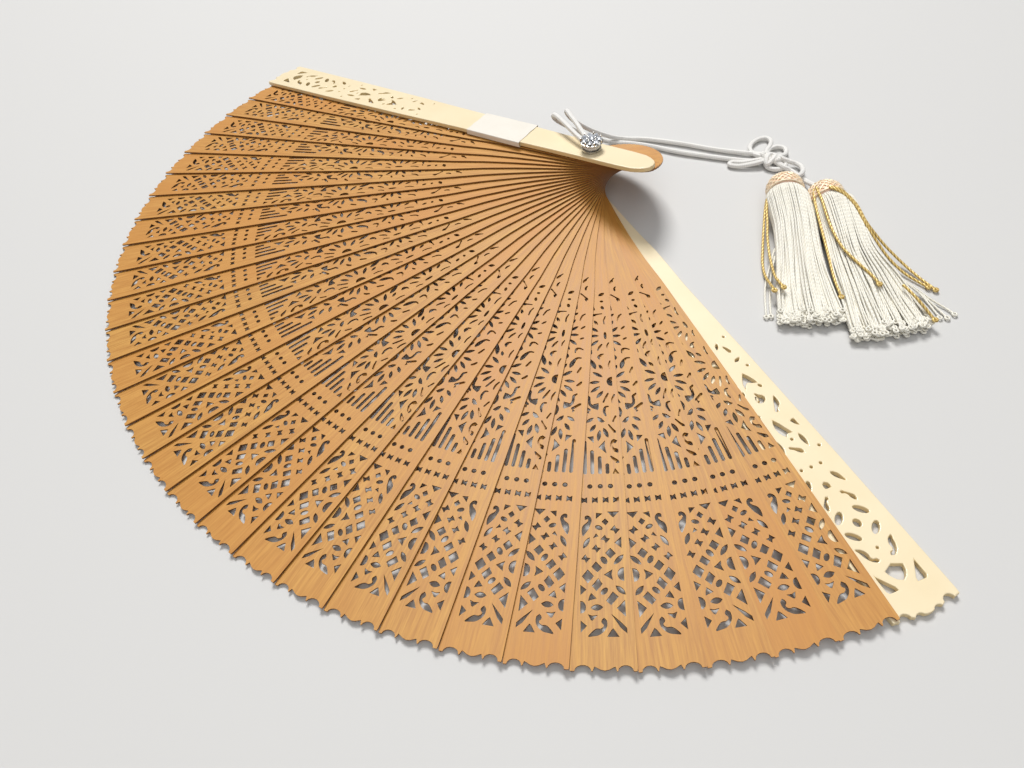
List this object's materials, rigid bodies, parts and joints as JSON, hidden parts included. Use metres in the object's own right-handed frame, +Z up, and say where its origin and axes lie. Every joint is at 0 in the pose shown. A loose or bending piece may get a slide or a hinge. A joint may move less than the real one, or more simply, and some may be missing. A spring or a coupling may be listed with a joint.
{
  "type": "folding fan",
  "caption": "Open folding fan of pierced sandalwood sticks turning on one rivet between two guards, with a jewelled cap, a knotted cord and two tassels.",
  "frame": {"origin": "centre of the open fan's bounding box, cord and tassels left out, at the surface it lies on", "axes": "+Z up from the surface, +Y from the leaf's outer edge towards the rivet, +X along the open fan's width towards the lower guard"},
  "size_m": [0.3884, 0.2858, 0.0315],
  "materials": {
    "sandalwood": "smooth, unvarnished, fine straight grain",
    "ivory": "polished ivory colour",
    "paper": "plain matt paper",
    "silver": "polished",
    "crystal": "clear faceted",
    "cord": "braided satin cord",
    "tassel_cap": "netted metallic thread",
    "tassel_thread": "twisted rayon thread"
  },
  "bodies": {
    "lower_guard": {"guard_bottom": "ivory", "rivet_pin": "silver", "rivet_washer": "silver", "jewel_setting": "silver", "jewel_stone": "crystal", "cord_strand_front": "cord", "cord_strand_back": "cord", "cord_tail_1": "cord", "cord_tail_2": "cord", "knot": "cord", "tassel_1_cap": "tassel_cap", "tassel_1_skirt": "tassel_thread", "tassel_2_cap": "tassel_cap", "tassel_2_skirt": "tassel_thread"},
    "upper_guard": {"guard_top": "ivory", "paper_band": "paper"},
    "blade_01": {"blade_01": "sandalwood"},
    "blade_02": {"blade_02": "sandalwood"},
    "blade_03": {"blade_03": "sandalwood"},
    "blade_04": {"blade_04": "sandalwood"},
    "blade_05": {"blade_05": "sandalwood"},
    "blade_06": {"blade_06": "sandalwood"},
    "blade_07": {"blade_07": "sandalwood"},
    "blade_08": {"blade_08": "sandalwood"},
    "blade_09": {"blade_09": "sandalwood"},
    "blade_10": {"blade_10": "sandalwood"},
    "blade_11": {"blade_11": "sandalwood"},
    "blade_12": {"blade_12": "sandalwood"},
    "blade_13": {"blade_13": "sandalwood"},
    "blade_14": {"blade_14": "sandalwood"},
    "blade_15": {"blade_15": "sandalwood"},
    "blade_16": {"blade_16": "sandalwood"},
    "blade_17": {"blade_17": "sandalwood"},
    "blade_18": {"blade_18": "sandalwood"},
    "blade_19": {"blade_19": "sandalwood"},
    "blade_20": {"blade_20": "sandalwood"},
    "blade_21": {"blade_21": "sandalwood"},
    "blade_22": {"blade_22": "sandalwood"},
    "blade_23": {"blade_23": "sandalwood"},
    "blade_24": {"blade_24": "sandalwood"},
    "blade_25": {"blade_25": "sandalwood"},
    "blade_26": {"blade_26": "sandalwood"},
    "blade_27": {"blade_27": "sandalwood"},
    "blade_28": {"blade_28": "sandalwood"},
    "blade_29": {"blade_29": "sandalwood"}
  },
  "joints": [
    {"name": "fan_fold", "type": "hinge", "parent": "lower_guard", "child": "upper_guard", "pos_m": [-0.00054, 0.08462, 0.0232], "axis": [-0.0581, 0.0239, 0.998], "range_deg": [0, 150.86]},
    {"name": "blade_01_fold", "type": "hinge", "parent": "lower_guard", "child": "blade_01", "pos_m": [-0.00054, 0.08462, 0.02215], "axis": [-0.0575, 0.0247, 0.998], "range_deg": [0, 145.91]},
    {"name": "blade_02_fold", "type": "hinge", "parent": "lower_guard", "child": "blade_02", "pos_m": [-0.00054, 0.08462, 0.02145], "axis": [-0.0575, 0.0227, 0.9981], "range_deg": [0, 140.89]},
    {"name": "blade_03_fold", "type": "hinge", "parent": "lower_guard", "child": "blade_03", "pos_m": [-0.00054, 0.08462, 0.02075], "axis": [-0.0575, 0.0207, 0.9981], "range_deg": [0, 135.87]},
    {"name": "blade_04_fold", "type": "hinge", "parent": "lower_guard", "child": "blade_04", "pos_m": [-0.00054, 0.08462, 0.02005], "axis": [-0.0576, 0.0189, 0.9982], "range_deg": [0, 130.85]},
    {"name": "blade_05_fold", "type": "hinge", "parent": "lower_guard", "child": "blade_05", "pos_m": [-0.00054, 0.08462, 0.01935], "axis": [-0.0577, 0.0171, 0.9982], "range_deg": [0, 125.82]},
    {"name": "blade_06_fold", "type": "hinge", "parent": "lower_guard", "child": "blade_06", "pos_m": [-0.00054, 0.08462, 0.01865], "axis": [-0.0578, 0.0155, 0.9982], "range_deg": [0, 120.8]},
    {"name": "blade_07_fold", "type": "hinge", "parent": "lower_guard", "child": "blade_07", "pos_m": [-0.00054, 0.08462, 0.01795], "axis": [-0.058, 0.0139, 0.9982], "range_deg": [0, 115.78]},
    {"name": "blade_08_fold", "type": "hinge", "parent": "lower_guard", "child": "blade_08", "pos_m": [-0.00054, 0.08462, 0.01725], "axis": [-0.0583, 0.0124, 0.9982], "range_deg": [0, 110.75]},
    {"name": "blade_09_fold", "type": "hinge", "parent": "lower_guard", "child": "blade_09", "pos_m": [-0.00054, 0.08462, 0.01655], "axis": [-0.0586, 0.0111, 0.9982], "range_deg": [0, 105.73]},
    {"name": "blade_10_fold", "type": "hinge", "parent": "lower_guard", "child": "blade_10", "pos_m": [-0.00054, 0.08462, 0.01585], "axis": [-0.0591, 0.0098, 0.9982], "range_deg": [0, 100.7]},
    {"name": "blade_11_fold", "type": "hinge", "parent": "lower_guard", "child": "blade_11", "pos_m": [-0.00054, 0.08462, 0.01515], "axis": [-0.0596, 0.0086, 0.9982], "range_deg": [0, 95.68]},
    {"name": "blade_12_fold", "type": "hinge", "parent": "lower_guard", "child": "blade_12", "pos_m": [-0.00054, 0.08462, 0.01445], "axis": [-0.0604, 0.0074, 0.9981], "range_deg": [0, 90.66]},
    {"name": "blade_13_fold", "type": "hinge", "parent": "lower_guard", "child": "blade_13", "pos_m": [-0.00054, 0.08462, 0.01375], "axis": [-0.0613, 0.0064, 0.9981], "range_deg": [0, 85.63]},
    {"name": "blade_14_fold", "type": "hinge", "parent": "lower_guard", "child": "blade_14", "pos_m": [-0.00054, 0.08462, 0.01305], "axis": [-0.0624, 0.0055, 0.998], "range_deg": [0, 80.61]},
    {"name": "blade_15_fold", "type": "hinge", "parent": "lower_guard", "child": "blade_15", "pos_m": [-0.00054, 0.08462, 0.01235], "axis": [-0.0638, 0.0047, 0.998], "range_deg": [0, 75.58]},
    {"name": "blade_16_fold", "type": "hinge", "parent": "lower_guard", "child": "blade_16", "pos_m": [-0.00054, 0.08462, 0.01165], "axis": [-0.0655, 0.004, 0.9978], "range_deg": [0, 70.56]},
    {"name": "blade_17_fold", "type": "hinge", "parent": "lower_guard", "child": "blade_17", "pos_m": [-0.00054, 0.08462, 0.01095], "axis": [-0.0687, 0.0046, 0.9976], "range_deg": [0, 65.54]},
    {"name": "blade_18_fold", "type": "hinge", "parent": "lower_guard", "child": "blade_18", "pos_m": [-0.00054, 0.08462, 0.01025], "axis": [-0.075, 0.0079, 0.9972], "range_deg": [0, 60.54]},
    {"name": "blade_19_fold", "type": "hinge", "parent": "lower_guard", "child": "blade_19", "pos_m": [-0.00054, 0.08462, 0.00955], "axis": [-0.0784, 0.0083, 0.9969], "range_deg": [0, 55.51]},
    {"name": "blade_20_fold", "type": "hinge", "parent": "lower_guard", "child": "blade_20", "pos_m": [-0.00054, 0.08462, 0.00885], "axis": [-0.0829, 0.009, 0.9965], "range_deg": [0, 50.49]},
    {"name": "blade_21_fold", "type": "hinge", "parent": "lower_guard", "child": "blade_21", "pos_m": [-0.00054, 0.08462, 0.00815], "axis": [-0.0886, 0.0102, 0.996], "range_deg": [0, 45.47]},
    {"name": "blade_22_fold", "type": "hinge", "parent": "lower_guard", "child": "blade_22", "pos_m": [-0.00054, 0.08462, 0.00745], "axis": [-0.0961, 0.012, 0.9953], "range_deg": [0, 40.45]},
    {"name": "blade_23_fold", "type": "hinge", "parent": "lower_guard", "child": "blade_23", "pos_m": [-0.00054, 0.08462, 0.00675], "axis": [-0.106, 0.0146, 0.9943], "range_deg": [0, 35.44]},
    {"name": "blade_24_fold", "type": "hinge", "parent": "lower_guard", "child": "blade_24", "pos_m": [-0.00054, 0.08462, 0.00605], "axis": [-0.1197, 0.0184, 0.9926], "range_deg": [0, 30.43]},
    {"name": "blade_25_fold", "type": "hinge", "parent": "lower_guard", "child": "blade_25", "pos_m": [-0.00054, 0.08462, 0.00535], "axis": [-0.1392, 0.0241, 0.99], "range_deg": [0, 25.44]},
    {"name": "blade_26_fold", "type": "hinge", "parent": "lower_guard", "child": "blade_26", "pos_m": [-0.00054, 0.08462, 0.00465], "axis": [-0.169, 0.0329, 0.9851], "range_deg": [0, 20.46]},
    {"name": "blade_27_fold", "type": "hinge", "parent": "lower_guard", "child": "blade_27", "pos_m": [-0.00054, 0.08462, 0.00395], "axis": [-0.2183, 0.0478, 0.9747], "range_deg": [0, 15.52]},
    {"name": "blade_28_fold", "type": "hinge", "parent": "lower_guard", "child": "blade_28", "pos_m": [-0.00054, 0.08462, 0.00325], "axis": [-0.3128, 0.0766, 0.9467], "range_deg": [0, 10.67]},
    {"name": "blade_29_fold", "type": "hinge", "parent": "lower_guard", "child": "blade_29", "pos_m": [-0.00054, 0.08462, 0.00255], "axis": [-0.5407, 0.1472, 0.8282], "range_deg": [0, 6.12]}
  ],
  "couplings": [
    {"joint": "blade_01_fold", "follows": "fan_fold", "ratio": 0.96684},
    {"joint": "blade_02_fold", "follows": "fan_fold", "ratio": 0.93356},
    {"joint": "blade_03_fold", "follows": "fan_fold", "ratio": 0.90027},
    {"joint": "blade_04_fold", "follows": "fan_fold", "ratio": 0.86698},
    {"joint": "blade_05_fold", "follows": "fan_fold", "ratio": 0.83369},
    {"joint": "blade_06_fold", "follows": "fan_fold", "ratio": 0.80039},
    {"joint": "blade_07_fold", "follows": "fan_fold", "ratio": 0.76709},
    {"joint": "blade_08_fold", "follows": "fan_fold", "ratio": 0.73379},
    {"joint": "blade_09_fold", "follows": "fan_fold", "ratio": 0.70049},
    {"joint": "blade_10_fold", "follows": "fan_fold", "ratio": 0.66719},
    {"joint": "blade_11_fold", "follows": "fan_fold", "ratio": 0.63388},
    {"joint": "blade_12_fold", "follows": "fan_fold", "ratio": 0.60057},
    {"joint": "blade_13_fold", "follows": "fan_fold", "ratio": 0.56727},
    {"joint": "blade_14_fold", "follows": "fan_fold", "ratio": 0.53396},
    {"joint": "blade_15_fold", "follows": "fan_fold", "ratio": 0.50065},
    {"joint": "blade_16_fold", "follows": "fan_fold", "ratio": 0.46735},
    {"joint": "blade_17_fold", "follows": "fan_fold", "ratio": 0.43409},
    {"joint": "blade_18_fold", "follows": "fan_fold", "ratio": 0.40093},
    {"joint": "blade_19_fold", "follows": "fan_fold", "ratio": 0.36763},
    {"joint": "blade_20_fold", "follows": "fan_fold", "ratio": 0.33434},
    {"joint": "blade_21_fold", "follows": "fan_fold", "ratio": 0.30107},
    {"joint": "blade_22_fold", "follows": "fan_fold", "ratio": 0.26781},
    {"joint": "blade_23_fold", "follows": "fan_fold", "ratio": 0.23458},
    {"joint": "blade_24_fold", "follows": "fan_fold", "ratio": 0.2014},
    {"joint": "blade_25_fold", "follows": "fan_fold", "ratio": 0.16828},
    {"joint": "blade_26_fold", "follows": "fan_fold", "ratio": 0.13529},
    {"joint": "blade_27_fold", "follows": "fan_fold", "ratio": 0.10254},
    {"joint": "blade_28_fold", "follows": "fan_fold", "ratio": 0.070375},
    {"joint": "blade_29_fold", "follows": "fan_fold", "ratio": 0.040209}
  ]
}
